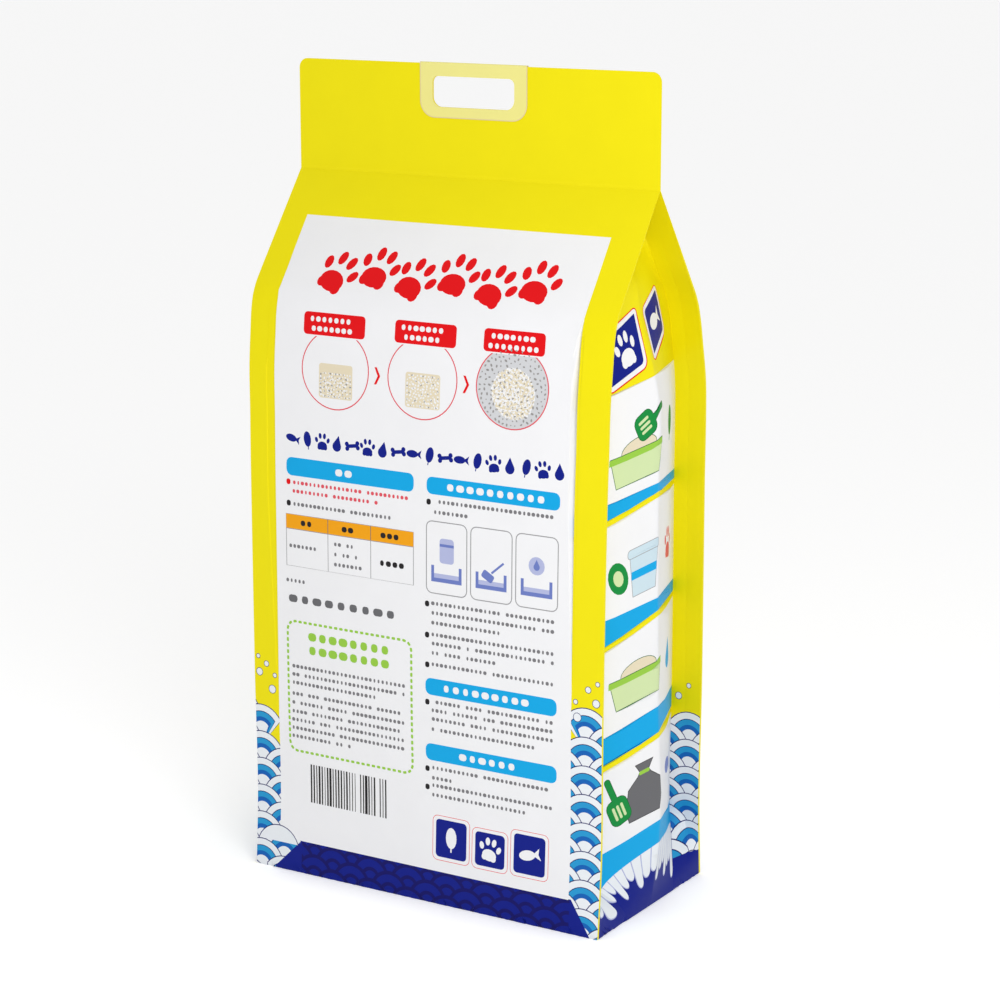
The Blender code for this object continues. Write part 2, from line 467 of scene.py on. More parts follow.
def scallops(left, low, right, high, radius, crest, rings=SCALLOP_RINGS, start=0.0):
    """The old sea pattern of overlapping round scales, under a crest line, in a rectangle."""
    rows = int((high - low) / (radius / 2)) + 3
    for row in reversed(range(-1, rows)):
        level = low + row * radius / 2
        shift = start + (radius if row % 2 else 0.0)
        first = math.floor((left - shift) / (2 * radius)) - 1
        last = math.ceil((right - shift) / (2 * radius)) + 1
        for column in range(first, last + 1):
            centre = shift + column * 2 * radius
            if level + radius > crest(min(max(centre, left), right)):
                continue
            for share, ink in rings:
                arc = scallop_arc(share, 13 if share > 0.5 else 9) * radius + (centre, level)
                field(ink, clipped(arc, left, low, right, high))


# Front print

PANEL = (-128.3, 25.0, 125.0, 501.0)
BAND_TOP = 25.6
WAVE_SCALE = 21.0


FOAM = (
    (-145.5, 151, 5.5), (-139.0, 158, 4.0), (-134.0, 139, 6.0), (-146.5, 163, 3.0), (-131.5, 150, 3.2),
    (145.0, 172, 5.5), (138.5, 181, 4.2), (130.0, 160, 6.0), (146.0, 186, 3.0), (128.5, 171, 3.2),
    (339.0, 137, 5.0), (347.5, 146, 3.4), (-339.0, 137, 5.0), (-347.5, 146, 3.4),
)


def wave_margins():
    """Scalloped waves up both margins of the front, and round the fins' inner faces."""
    def left_crest(u):
        return 146 - 1.2 * (u + 150)

    def right_crest(u):
        return 176 - 1.6 * abs(u - 139)

    def strip_crest(u):
        return 128 - 0.35 * abs(u - 348)

    scallops(-FIN, 0, PANEL[0] + 26, 175, WAVE_SCALE, left_crest, start=-FIN + 5)
    scallops(PANEL[2] - 6, 0, FIN, 195, WAVE_SCALE, right_crest, start=FIN - 13)
    for low_u, high_u in ((FIN_BACK, ROOT), (REAR_ROOT, REAR_FIN_BACK)):
        scallops(low_u, 0, high_u, 155, WAVE_SCALE, strip_crest, start=high_u - 9)
        scallops(-high_u, 0, -low_u, 155, WAVE_SCALE, lambda u: strip_crest(-u), start=9 - high_u)
    for u, v, size in FOAM:
        field("dark_navy", grown(oval(u, v, size, size, steps=12), 0.45))
        field("foam_white", oval(u, v, size, size, steps=12))


def base_band():
    """The navy band along the base, with darker scales."""
    dark_rings = ((1.00, "dark_navy"), (0.84, "navy"), (0.50, "dark_navy"), (0.34, "navy"))
    band = np.array([(-134, 0), (144, 0), (127, BAND_TOP), (-108, BAND_TOP)], dtype=float)
    field("navy", band)
    scallops(-108, 0, 126, BAND_TOP, 17, lambda u: 90, dark_rings, start=6)


def panel_field():
    """The white panel, with foam over its low left corner."""
    field("panel_white", rectangle(*PANEL))
    for size, ink in ((1.0, "dark_navy"), (0.965, "foam_white")):
        foam = oval(-130, 14, 40 * size, 40 * size, steps=32)
        field(ink, clipped(foam, -FIN, PANEL[1] - 4, -100, 60))


def title_row():
    """Six red paw prints that walk across the panel's head."""
    for number in range(6):
        lift = 3 if number % 2 else -3
        tilt = -14 if number % 2 else -24
        paw("red", -83 + 33 * number, 459 + lift, 35, tilt)


CIRCLES = ((-74, 385), (0.2, 385.5), (73.7, 386))
PILLS = ((-102.8, 408.8, -49.8, 425.3), (-24.6, 409.3, 26.5, 425.6), (48.8, 409.8, 97.8, 425.9))


def proof_circles():
    """Three ringed circles, each under a red label, with chevrons between them."""
    for number, (u, v) in enumerate(CIRCLES):
        field("soft_red", oval(u, v, 58.5, 58.5, steps=48))
        field("panel_white" if number < 2 else "stone", oval(u, v, 56.7, 56.7, steps=48))
    for u, v in CIRCLES[:2]:
        field("beige", rounded(u - 14, v - 21, u + 15, v + 4, 2.0))
    clump_u, clump_v = CIRCLES[2]
    field("beige", oval(clump_u + 1, clump_v - 4, 34, 36, 20, 24))
    for u, v in ((-37.7, 384), (36.5, 385)):
        field("red", np.array([
            (u - 2.6, v + 6.2), (u - 0.6, v + 6.2), (u + 2.6, v), (u - 0.6, v - 6.2),
            (u - 2.6, v - 6.2), (u + 0.4, v),
        ]))
    for pill in PILLS:
        field("panel_white", grown(rounded(*pill, 3.0), 0.9))
        field("red", rounded(*pill, 3.0))


def headline():
    """A row of small navy motifs between the circles and the columns."""
    motifs = (fish, paw, bone, leaf, drop)
    count = 18
    for number in range(count):
        u = -111.5 + 13.2 * number
        motifs[(number * 3 + number // 5) % len(motifs)]("navy", u, 331.5, 13.6, (-12, 8, 0)[number % 3])


BARS = (
    (-117.5, 304.0, -5.7, 317.5), (5.2, 304.5, 114.0, 317.0),
    (4.2, 157.5, 113.4, 170.0), (3.8, 108.3, 113.6, 121.0),
)
TABLE = (-118.4, 236.5, -5.9, 275.0)
TABLE_HEAD = 264.5
TABLE_COLUMNS = (-80.6, -42.8)
LINE = 0.55


def columns():
    """The blue bars, the table and the three boxes of the two text columns."""
    for bar in BARS:
        field("sky_blue", rounded(*bar, 4.6))
    left, low, right, high = TABLE
    field("line_grey", grown(rectangle(*TABLE), LINE / 2))
    field("orange", rectangle(left, TABLE_HEAD, right, high))
    edges = (left, *TABLE_COLUMNS, right)
    for start, end in zip(edges, edges[1:]):
        field("panel_white", rectangle(start + LINE / 2, low, end - LINE / 2, TABLE_HEAD - LINE))
    for u in TABLE_COLUMNS:
        field("sack_grey", rectangle(u - LINE / 2, TABLE_HEAD, u + LINE / 2, high))
    for number, left in enumerate((4.8, 41.9, 78.9)):
        box = rounded(left, 232.6, left + 34.6, 285.6, 5.0)
        field("line_grey", box)
        field("panel_white", grown(box, -0.75))
        tray(left + 4.5, 241.5, 25.5, number)


def tray(u, v, wide, number):
    """A litter tray cut through, with what goes in it drawn in pale shapes."""
    field("pale_violet", rectangle(u + 2, v + 2, u + wide - 2, v + 6.2))
    field("violet", rectangle(u, v, u + 2.4, v + 12))
    field("violet", rectangle(u + wide - 2.4, v, u + wide, v + 12))
    field("violet", rectangle(u, v, u + wide, v + 3))
    if number == 0:
        field("pale_violet", rounded(u + 7, v + 14, u + 19, v + 32, 2.5))
        field("violet", rectangle(u + 7, v + 26, u + 19, v + 28))
    elif number == 1:
        field("violet", turned(rounded(-5, -3, 5, 3, 1.5), -30) + (u + 10, v + 9.5))
        field("violet", turned(rectangle(4, -0.8, 17, 0.8), 40) + (u + 10, v + 9.5))
    else:
        field("pale_violet", oval(u + 12.7, v + 22, 13, 13, steps=18))
        drop("violet", u + 12.7, v + 22.5, 9)


BADGES = ((9.8, 34.0, 41.0, 67.2), (43.6, 34.0, 73.4, 64.0), (76.2, 34.6, 107.2, 68.4))


def badges():
    """Three navy badges with a white and red border, at the foot of the right column."""
    for badge in BADGES:
        field("red", grown(rounded(*badge, 4.0), 0.4))
        field("panel_white", rounded(*badge, 4.0))
    for number, badge in enumerate(BADGES):
        left, low, right, high = badge
        field("navy", rounded(left + 2.4, low + 2.4, right - 2.4, high - 2.4, 3.0))
        motif = (leaf, paw, fish)[number]
        motif("panel_white", (left + right) / 2, (low + high) / 2, 19, (0, -8, 12)[number])


# Side print, drawn for the right side and mirrored on the left


def gusset_band(ink, top, low, spread=0.0):
    """A field across the gusset between two lines, each given at the root, crease and rear root."""
    folds = [ROOT, CREASE, REAR_ROOT]
    lines = [list(top), list(low)]
    if spread:
        folds = [ROOT - spread, *folds]
        for line in lines:
            line.insert(0, line[0] - spread * (line[1] - line[0]) / (CREASE - ROOT))
    outline = list(zip(folds, lines[1])) + list(zip(reversed(folds), reversed(lines[0])))
    both_sides(ink, np.array(outline, dtype=float))


def lowered(line, distance):
    return [level - distance for level in line]


GUSSET_TOP = (376, 391, 390)
GUSSET_BANDS = (
    ((301, 315, 309), (286, 308.5, 302)),
    ((219, 232, 226), (194, 222.5, 217)),
    ((129.5, 152, 144), (109, 133, 128)),
    ((45, 67.6, 55), (26.5, 50, 40)),
)
STRIPE = 4.2


def gusset_fields():
    """White fields between slanting blue bands, over white tongues on a navy foot."""
    both_sides("navy", rectangle(FIN_BACK, 0, REAR_ROOT, 40))
    both_sides("navy", rectangle(REAR_ROOT, 0, REAR_FIN_BACK, 20))
    opening = ROOT - FIN_BACK
    for number, u in enumerate(np.arange(FIN_BACK + 5, REAR_ROOT + 4, 10.6)):
        rise = math.sin(math.pi * (u - FIN_BACK) / (REAR_ROOT + 20 - FIN_BACK))
        foot = 9 + 15 * rise + (4, -5, 1)[number % 3]
        top = foot + 34
        both_sides("pale_violet", rounded(u - 5.3, foot, u + 5.3, top, 5.2, 6))
        both_sides("foam_white", rounded(u - 4.1, foot + 0.8, u + 5.3, top, 4.6, 6))
    top, low = GUSSET_BANDS[3]
    gusset_band("panel_white", lowered(GUSSET_BANDS[2][1], 0), low, opening)
    gusset_band("panel_white", GUSSET_TOP, low)
    gusset_band("sky_blue", top, low, opening)
    for top, low in GUSSET_BANDS[:3]:
        gusset_band("yellow", lowered(low, -0.1), lowered(low, STRIPE))
        gusset_band("sky_blue", top, low)
    fin_waves()


def fin_waves():
    """The fins' front halves of their inner faces keep the waves above the open foot."""
    for side in (1, -1):
        edges = sorted((side * FIN_BACK, side * ROOT))
        scallops(edges[0], 66, edges[1], 155, WAVE_SCALE, lambda u: 128, start=side * (ROOT - 9))


def sheared(outline, u, slope=0.19):
    """An outline that slants with the bands."""
    return np.stack([outline[:, 0], outline[:, 1] + (outline[:, 0] - u) * slope], axis=-1)


def litter_tray(u, v):
    """A pale green tray with a mound of litter."""
    both_sides("dark_green", grown(sheared(oval(u, v + 17, 34, 15, steps=24), u), 0.5))
    both_sides("beige", sheared(oval(u, v + 17, 34, 15, steps=24), u))
    rim = np.array([(u - 27, v + 16), (u - 21, v - 6), (u + 21, v - 6), (u + 27, v + 16)])
    both_sides("dark_green", grown(sheared(rim, u), 0.5))
    both_sides("pale_green", sheared(rim, u))
    lip = rectangle(u - 28, v + 11.5, u + 28, v + 16)
    both_sides("lime", sheared(lip, u))


def scoop(u, v, tilt):
    """A green scoop with slots."""
    blade = rounded(-9, -12, 9, 8, 5.5)
    handle = rounded(-2.2, 6, 2.2, 25, 2.1)
    for outline, ink, growth in (
        (handle, "dark_green", 0.5), (blade, "dark_green", 0.5), (handle, "leaf_green", 0),
        (blade, "leaf_green", 0),
    ):
        both_sides(ink, turned(grown(outline, growth), tilt) + (u, v))
    for slot_u in (-5, -1.2, 2.6):
        slot = rounded(slot_u, -8, slot_u + 2.2, 3, 1.0)
        both_sides("pale_green", turned(slot, tilt) + (u, v))


def bucket(u, v):
    """A pale blue bucket with a lid."""
    side = np.array([(-14, 14), (-11, -15), (11, -15), (14, 14)]) + (u, v)
    both_sides("line_grey", grown(sheared(side, u), 0.5))
    both_sides("pale_blue", sheared(side, u))
    lid = rounded(u - 16, v + 13, u + 16, v + 19, 2.4)
    both_sides("line_grey", grown(sheared(lid, u), 0.5))
    both_sides("pale_blue", sheared(lid, u))
    both_sides("sky_blue", sheared(rectangle(u - 12.6, v - 3, u + 12.6, v + 3), u))


def tied_sack(u, v):
    """A grey sack tied at its neck."""
    body = np.array([
        (-14, -18), (14, -18), (17, -8), (15, 6), (6, 13), (4, 16), (8, 22), (-8, 22), (-4, 16),
        (-6, 13), (-15, 6), (-17, -8),
    ]) + (u, v)
    both_sides("black", grown(sheared(body, u), 0.5))
    both_sides("sack_grey", sheared(body, u))
    both_sides("lime", sheared(rounded(u - 5, v + 13.6, u + 5, v + 16.4, 1.2), u))


def gusset_pictures():
    """One simple household picture or two on each white field."""
    litter_tray(234, 326)
    scoop(242, 359, -62)
    bucket(241, 254)
    leaf_u, leaf_v = 216, 252
    both_sides("leaf_green", oval(leaf_u, leaf_v, 18, 24, 20, 18))
    both_sides("pale_green", oval(leaf_u, leaf_v, 9, 12, 20, 14))
    litter_tray(236, 166)
    tied_sack(240, 92)
    scoop(216, 84, 24)
    for motif, ink, v, size in (
        (leaf, "leaf_green", 352, 26), (paw, "soft_red", 264, 25), (drop, "sky_blue", 182, 26),
        (fish, "violet", 98, 30),
    ):
        for side in (1, -1):
            motif(ink, side * 290, v, size, side * -8)


def shoulder_badge():
    """Two badges on the yellow above the side's white field, one on each half of the gusset."""
    for left, low, right, high, motif in (
        (205, 391, 249, 433, paw), (262, 408, 306, 446, fish),
    ):
        middle = (left + right) / 2
        outline = sheared(rounded(left, low, right, high, 5.0), middle, 0.36)
        both_sides("red", grown(outline, 1.0))
        both_sides("panel_white", outline)
        both_sides("navy", grown(outline, -3.4))
        for side in (1, -1):
            motif("panel_white", side * middle, (low + high) / 2, 27, side * 16)


# Back print


def back_paw(v, size):
    """A paw print across the back's middle, half of it on each end of the unrolled film."""
    first = len(print_fields)
    paw("panel_white", 0, v, size)
    parts = [outline for _, outline in print_fields[first:]]
    del print_fields[first:]
    for outline in parts:
        for side in (1, -1):
            moved = outline + (side * HALF_WRAP, 0)
            edges = sorted((side * REAR_FIN, side * HALF_WRAP))
            field("panel_white", clipped(moved, edges[0], 0, edges[1], TOP_OF_BAG))


def back_print():
    """The back is yellow, with a navy disc and a paw print over a band of waves."""
    def dip(u):
        return 96 + 34 * ((abs(u) - HALF_WRAP) / FIN) ** 2

    for side in (1, -1):
        start = side * (HALF_WRAP - WAVE_SCALE)
        edges = sorted((side * REAR_FIN, side * HALF_WRAP))
        scallops(edges[0], 0, edges[1], 150, WAVE_SCALE, dip, start=start)
        field("navy", rectangle(edges[0], 0, edges[1], BAND_TOP - 8))
        for size, ink in ((174, "red"), (171, "panel_white"), (161, "navy")):
            disc = oval(side * HALF_WRAP, 286, size, size, steps=72)
            field(ink, clipped(disc, edges[0], 0, edges[1], TOP_OF_BAG))
    back_paw(286, 118)


def fin_edges():
    """The cut edges of the fins show the film's plain yellow."""
    for low_u, high_u in ((FIN, FIN_BACK), (REAR_FIN_BACK, REAR_FIN)):
        both_sides("yellow", rectangle(low_u, 0, high_u, TOP_OF_BAG))


wave_margins()
base_band()
panel_field()
title_row()
proof_circles()
headline()
columns()
badges()
gusset_fields()
gusset_pictures()
shoulder_badge()
back_print()
fin_edges()

# Film mesh

GRID = 7.5
NEAREST = 1e-4
WELD = 2e-6


def spaced(start, end, step):
    """Evenly spaced values from start to end, about a step apart."""
    return np.linspace(start, end, max(int(round((end - start) / step)), 1) + 1)


def film_columns():
    """Where columns of points stand on the film from the front's middle to the back's."""
    quarter = np.concatenate([
        spaced(0, FIN, GRID), spaced(FIN, FIN_BACK, 1.0), spaced(FIN_BACK, TAPER_END, 4.0),
        spaced(TAPER_END, ROOT, GRID), spaced(ROOT, CREASE - 12, 6.0),
        CREASE - np.array([9.0, 6.0, 3.5, 1.8, 0.8, 0.0]),
    ])
    half = np.concatenate([quarter, HALF_WRAP - quarter])
    return np.unique(np.round(np.concatenate([half, -half]), 4))


def film_levels():
    """Where rows of points stand up the film."""
    levels = np.concatenate([
        np.array([0.0, 0.25, 0.6, 1.1, 1.7, 2.4, 4.5]), spaced(7.5, 60, 6.0), spaced(60, 390, GRID),
        spaced(390, V_SHOULDER, 5.0), spaced(V_SHOULDER, TOP_OF_BAG, 4.5),
    ])
    return np.unique(np.round(levels, 4))


def cut_film():
    """The unrolled film as triangles, cut along its folds and along every field's outline."""
    points = []
    lines = []
    column_places = film_columns()
    level_places = film_levels()
    level_places[-1] = TOP_OF_BAG
    for u in column_places:
        points.extend((u, v) for v in level_places)
    folds = [FIN, FIN_BACK, TAPER_END, ROOT, REAR_ROOT, HALF_WRAP - TAPER_END, REAR_FIN_BACK, REAR_FIN]
    runs = [np.array([(u, 0.0), (u, TOP_OF_BAG)]) for fold in folds for u in (fold, -fold)]
    runs += [np.array([(-HALF_WRAP, v), (HALF_WRAP, v)]) for v in (0.0, V_SHOULDER, TOP_OF_BAG)]
    for run in runs:
        lines.append((len(points), len(points) + 1))
        points.extend(map(tuple, run))
    for _, outline in print_fields:
        first = len(points)
        count = len(outline)
        points.extend(map(tuple, outline))
        lines.extend((first + number, first + (number + 1) % count) for number in range(count))
    found = delaunay_2d_cdt([Vector(point) for point in points], lines, [], 0, NEAREST)
    places = np.array([tuple(point) for point in found[0]])
    faces = np.array(found[2])
    return places, faces


def inks_of(places, faces):
    """The topmost field's ink for each triangle."""
    middles = places[faces].mean(axis=1)
    inks = np.full(len(faces), ink_names.index("yellow"))
    order = np.argsort(middles[:, 0])
    sorted_u = middles[order, 0]
    for ink, outline in print_fields:
        low = outline.min(axis=0)
        high = outline.max(axis=0)
        first, last = np.searchsorted(sorted_u, (low[0], high[0]))
        near = order[first:last]
        near = near[(middles[near, 1] > low[1]) & (middles[near, 1] < high[1])]
        inside = inside_outline(middles[near], outline)
        inks[near[inside]] = ink_names.index(ink)
    return inks


def inside_outline(points, outline):
    """Which points lie inside an outline."""
    inside = np.zeros(len(points), dtype=bool)
    for start, end in zip(outline, np.roll(outline, -1, axis=0)):
        if start[1] == end[1]:
            continue
        between = (points[:, 1] < start[1]) != (points[:, 1] < end[1])
        crossing = start[0] + (points[:, 1] - start[1]) * (end[0] - start[0]) / (end[1] - start[1])
        inside ^= between & (points[:, 0] < crossing)
    return inside


def header_outline():
    """The header's edge in X and Z, in millimetres, from its low right corner to its low left one."""
    half = FIN
    top = HEIGHT / MM
    low = HEADER_BASE / MM
    radius = HEADER_CORNER / MM
    right = [(half, z) for z in spaced(low, top - radius, GRID)]
    for step in range(1, 8):
        angle = math.radians(90 * step / 8)
        right.append((half - radius + radius * math.cos(angle), top - radius + radius * math.sin(angle)))
    across = [(x, top) for x in spaced(0, half - radius, GRID)[::-1]]
    quarter = np.array(right + across)
    return np.concatenate([quarter, quarter[::-1][1:] * (-1, 1)])


def hole_outline(growth=0.0):
    """The hand hole's edge in X and Z, in millimetres."""
    half = HOLE_WIDTH / 2 / MM
    low, high = HOLE_LOW / MM, HOLE_HIGH / MM
    points = []
    for side, level, radius, start in (
        (1, low, HOLE_LOW_CORNER / MM, -90), (1, high, HOLE_TOP_CORNER / MM, 0),
        (-1, high, HOLE_TOP_CORNER / MM, 90), (-1, low, HOLE_LOW_CORNER / MM, 180),
    ):
        centre_x = side * (half - radius)
        centre_z = level + radius if level == low else level - radius
        for step in range(9):
            angle = math.radians(start + 90 * step / 8)
            reach = radius + growth
            points.append((centre_x + reach * math.cos(angle), centre_z + reach * math.sin(angle)))
    return np.array(points)


def cut_header():
    """One face of the header as triangles in X and Z, in millimetres, with its hole open."""
    edge = header_outline()
    hole = hole_outline()
    columns_x = film_columns()
    columns_x = columns_x[np.abs(columns_x) <= FIN]
    foot = [(x, HEADER_BASE / MM) for x in columns_x[1:-1]]
    inner = [
        (x, z) for x in columns_x[1:-1] for z in spaced(HEADER_BASE / MM, HEIGHT / MM, GRID)[1:-1]
    ]
    spots = np.array(inner)
    clear = ~inside_outline(spots, hole_outline(2.0)) & inside_outline(spots, edge)
    points = [*map(tuple, edge), *map(tuple, hole), *foot, *map(tuple, spots[clear])]
    count = len(edge)
    lines = [(number, number + 1) for number in range(count - 1)] + [(count - 1, 0)]
    holes = len(hole)
    lines += [(count + number, count + (number + 1) % holes) for number in range(holes)]
    found = delaunay_2d_cdt([Vector(point) for point in points], lines, [], 0, NEAREST)
    places = np.array([tuple(point) for point in found[0]])
    faces = np.array(found[2])
    middles = places[faces].mean(axis=1)
    kept = inside_outline(middles, edge) & ~inside_outline(middles, hole)
    return places, faces[kept], edge, hole


class Patchwork:
    """A mesh gathered from parts: points, faces, each face's ink, and film coordinates by corner."""

    def __init__(self):
        self.points = []
        self.faces = []
        self.inks = []
        self.corners = []

    def add(self, points, faces, inks, corners):
        first = sum(map(len, self.points))
        self.points.append(np.asarray(points, dtype=float))
        self.faces.extend([int(corner) + first for corner in face] for face in faces)
        self.inks.extend(int(ink) for ink in inks)
        self.corners.append(np.asarray(corners, dtype=float).reshape(-1, 2))

    def mesh(self, name):
        data = bpy.data.meshes.new(name)
        data.from_pydata(np.concatenate(self.points).tolist(), [], self.faces)
        data.polygons.foreach_set("material_index", self.inks)
        layer = data.uv_layers.new(name="film")
        layer.data.foreach_set("uv", (np.concatenate(self.corners) * MM).ravel())
        return data


def edge_band(work, outline, closed, ink, outward):
    """The thin edge between the header's two faces, along an outline in X and Z."""
    count = len(outline)
    levels = HEADER_OFFSET + np.array([-FIN_FILM, 0.0, FIN_FILM])
    points = np.concatenate([
        np.stack([outline[:, 0] * MM, np.full(count, y), outline[:, 1] * MM], axis=-1) for y in levels
    ])
    faces = []
    for number in range(count if closed else count - 1):
        following = (number + 1) % count
        for ring in (0, count):
            face = [number + ring, number + ring + count, following + ring + count, following + ring]
            faces.append(face if outward else face[::-1])
    corners = np.tile(((FIN + 1.0), TOP_OF_BAG), (4 * len(faces), 1))
    work.add(points, faces, [ink] * len(faces), corners)


def film_mesh():
    """The whole bag as one closed mesh: body, header, edges and base."""
    work = Patchwork()
    yellow = ink_names.index("yellow")
    places, faces = cut_film()
    work.add(film_point(places[:, 0], places[:, 1]), faces, inks_of(places, faces), places[faces])
    spots, plates, edge, hole = cut_header()
    rise = TOP_OF_BAG - HEADER_BASE / MM
    for y, turn in ((-FIN_FILM, 1), (FIN_FILM, -1)):
        points = np.stack([
            spots[:, 0] * MM, np.full(len(spots), HEADER_OFFSET + y), spots[:, 1] * MM,
        ], axis=-1)
        work.add(points, plates[:, ::turn], [yellow] * len(plates), spots[plates[:, ::turn]] + (0, rise))
    edge_band(work, edge, False, yellow, True)
    edge_band(work, hole, True, yellow, False)
    data = work.mesh("printed_bag")
    mesh = bmesh.new()
    mesh.from_mesh(data)
    bmesh.ops.remove_doubles(mesh, verts=mesh.verts, dist=WELD)
    open_edges = [edge for edge in mesh.edges if edge.is_boundary]
    base = bmesh.ops.holes_fill(mesh, edges=open_edges, sides=0)["faces"]
    for face in base:
        face.material_index = ink_names.index("navy")
    bmesh.ops.triangulate(mesh, faces=mesh.faces)
    bmesh.ops.recalc_face_normals(mesh, faces=mesh.faces)
    mesh.to_mesh(data)
    mesh.free()
    return data


def smooth_film(data):
    """Each corner of the film's body takes its direction from the film's own form."""
    count = len(data.loops)
    corners = np.zeros(count * 2)
    data.uv_layers["film"].data.foreach_get("uv", corners)
    corners = corners.reshape(-1, 3, 2) / MM
    middles = corners.mean(axis=1, keepdims=True)
    inner = corners + (middles - corners) * 0.1
    normals = film_normal(inner[..., 0], inner[..., 1])
    flat = np.zeros(len(data.polygons) * 3)
    data.polygons.foreach_get("normal", flat)
    flat = np.repeat(flat.reshape(-1, 1, 3), 3, axis=1)
    agree = (normals * flat).sum(axis=2) > 0.85
    in_body = (corners[..., 1].max(axis=1) < TOP_OF_BAG - 0.01)[:, None] | (agree.all(axis=1))[:, None]
    normals = np.where((agree & in_body)[..., None], normals, flat)
    data.normals_split_custom_set(normals.reshape(-1, 3).tolist())


def add_piece(name, data):
    piece = bpy.data.objects.new(name, data)
    bpy.context.scene.collection.objects.link(piece)
    return piece


film_data = film_mesh()
film_data.shade_smooth()
smooth_film(film_data)
for name in ink_names:
    film_data.materials.append(ink_materials[name])
film_bag = add_piece("printed_bag", film_data)
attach(film_bag, "root")
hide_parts("bag")

# Fine print: small shapes that trees of geometry nodes repeat in the flat print, in millimetres,
# and that are then laid on the film as thin ink

INK_UNDER = -0.05
INK_OVER = 0.07


def stamp(name, outline):
    """A closed flat shape, as thin as ink."""
    count = len(outline)
    points = [(u, v, level) for level in (INK_UNDER, INK_OVER) for u, v in outline]
    faces = [list(range(count))[::-1], list(range(count, 2 * count))]
    for number in range(count):
        following = (number + 1) % count
        faces.append((number, following, following + count, number + count))
    data = bpy.data.meshes.new(name)
    data.from_pydata(points, [], faces)
    shape = add_piece(name, data)
    shape.hide_render = True
    return shape


def new_tree(name, labels):
    """A geometry tree with a named input for each size, and its group's two ends."""
    tree = bpy.data.node_groups.new(name, "GeometryNodeTree")
    tree.interface.new_socket("Geometry", in_out="INPUT", socket_type="NodeSocketGeometry")
    for label, kind in labels:
        tree.interface.new_socket(label, in_out="INPUT", socket_type="NodeSocket" + kind)
    tree.interface.new_socket("Geometry", in_out="OUTPUT", socket_type="NodeSocketGeometry")
    return tree, tree.nodes.new("NodeGroupInput"), tree.nodes.new("NodeGroupOutput")


def shown(sockets, name):
    """The socket of that name which is in use, because some nodes hold several."""
    return next(socket for socket in sockets if socket.name == name and socket.enabled)


def random_number(tree, low, high, seed):
    """A random number between two for each point."""
    node = tree.nodes.new("FunctionNodeRandomValue")
    node.data_type = "FLOAT"
    for name, value in (("Min", low), ("Max", high)):
        if isinstance(value, bpy.types.NodeSocket):
            tree.links.new(value, shown(node.inputs, name))
        else:
            shown(node.inputs, name).default_value = value
    tree.links.new(seed, shown(node.inputs, "Seed"))
    return shown(node.outputs, "Value")


def stamped(tree, ends, points, rotation=None, scale=None):
    """Stamps on points, made real and given their ink, which ends a tree."""
    start, finish = ends
    link = tree.links.new
    shape = tree.nodes.new("GeometryNodeObjectInfo")
    link(start.outputs["Stamp"], shape.inputs["Object"])
    copies = tree.nodes.new("GeometryNodeInstanceOnPoints")
    link(points, copies.inputs["Points"])
    link(shape.outputs["Geometry"], copies.inputs["Instance"])
    if rotation:
        link(rotation, copies.inputs["Rotation"])
    if scale:
        link(scale, copies.inputs["Scale"])
    real = tree.nodes.new("GeometryNodeRealizeInstances")
    link(copies.outputs["Instances"], real.inputs["Geometry"])
    ink = tree.nodes.new("GeometryNodeSetMaterial")
    link(real.outputs["Geometry"], ink.inputs["Geometry"])
    link(start.outputs["Ink"], ink.inputs["Material"])
    link(ink.outputs["Geometry"], finish.inputs["Geometry"])


def row_tree():
    """Each point starts a row: its count of stamps, a pitch apart, of random width, some left out."""
    tree, start, finish = new_tree("stamp_rows", (
        ("Stamp", "Object"), ("Pitch", "Float"), ("Least Width", "Float"), ("Left Out", "Float"),
        ("Seed", "Int"), ("Ink", "Material"),
    ))
    link = tree.links.new
    count = tree.nodes.new("GeometryNodeInputNamedAttribute")
    count.data_type = "INT"
    count.inputs["Name"].default_value = "count"
    copies = tree.nodes.new("GeometryNodeDuplicateElements")
    copies.domain = "POINT"
    link(start.outputs["Geometry"], copies.inputs["Geometry"])
    link(shown(count.outputs, "Attribute"), copies.inputs["Amount"])
    along = tree.nodes.new("ShaderNodeMath")
    along.operation = "MULTIPLY"
    link(copies.outputs["Duplicate Index"], along.inputs[0])
    link(start.outputs["Pitch"], along.inputs[1])
    offset = tree.nodes.new("ShaderNodeCombineXYZ")
    link(along.outputs[0], offset.inputs["X"])
    moved = tree.nodes.new("GeometryNodeSetPosition")
    link(copies.outputs["Geometry"], moved.inputs["Geometry"])
    link(offset.outputs["Vector"], moved.inputs["Offset"])
    chance = random_number(tree, 0.0, 1.0, start.outputs["Seed"])
    dropped = tree.nodes.new("FunctionNodeCompare")
    dropped.operation = "LESS_THAN"
    link(chance, shown(dropped.inputs, "A"))
    link(start.outputs["Left Out"], shown(dropped.inputs, "B"))
    kept = tree.nodes.new("GeometryNodeDeleteGeometry")
    link(moved.outputs["Geometry"], kept.inputs["Geometry"])
    link(dropped.outputs["Result"], kept.inputs["Selection"])
    other_seed = tree.nodes.new("ShaderNodeMath")
    link(start.outputs["Seed"], other_seed.inputs[0])
    other_seed.inputs[1].default_value = 7.0
    width = random_number(tree, start.outputs["Least Width"], 1.0, other_seed.outputs[0])
    scale = tree.nodes.new("ShaderNodeCombineXYZ")
    link(width, scale.inputs["X"])
    scale.inputs["Y"].default_value = 1.0
    scale.inputs["Z"].default_value = 1.0
    stamped(tree, (start, finish), kept.outputs["Geometry"], scale=scale.outputs["Vector"])
    return tree


